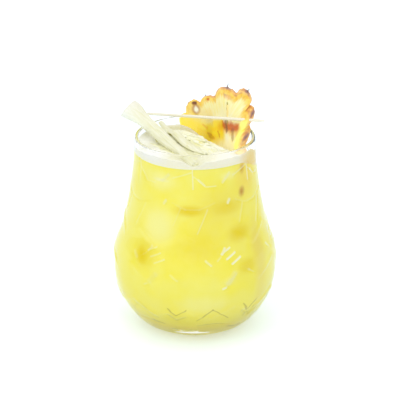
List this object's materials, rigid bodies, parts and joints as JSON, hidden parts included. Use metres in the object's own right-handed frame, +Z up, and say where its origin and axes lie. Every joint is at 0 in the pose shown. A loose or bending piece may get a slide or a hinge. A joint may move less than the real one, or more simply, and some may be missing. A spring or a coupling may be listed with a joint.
{
  "type": "pineapple cooler",
  "caption": "Cloudy yellow pineapple drink with froth and crushed ice in a moulded glass tumbler, with a pineapple slice astride the rim, a pale stalk and a pick.",
  "frame": {"origin": "middle of the glass's foot, on the surface it stands on", "axes": "+Z up along the glass's axis, -Y towards the drinker, +X to the drinker's right"},
  "size_m": [0.1011, 0.106, 0.1438],
  "materials": {
    "glass": "clear moulded glass with zigzag relief",
    "drink": "cloudy yellow juice",
    "froth": "fine white froth",
    "ice": "wet crushed ice",
    "pineapple": "wet flesh with a brown rind",
    "stalk": "pale fibrous stalk",
    "pick": "clear smooth pick"
  },
  "bodies": {
    "root": {"glass": "glass", "drink": "drink", "froth": "froth", "crushed_ice": "ice", "pineapple_slice": "pineapple", "stalk": "stalk", "pick": "pick"}
  },
  "joints": []
}
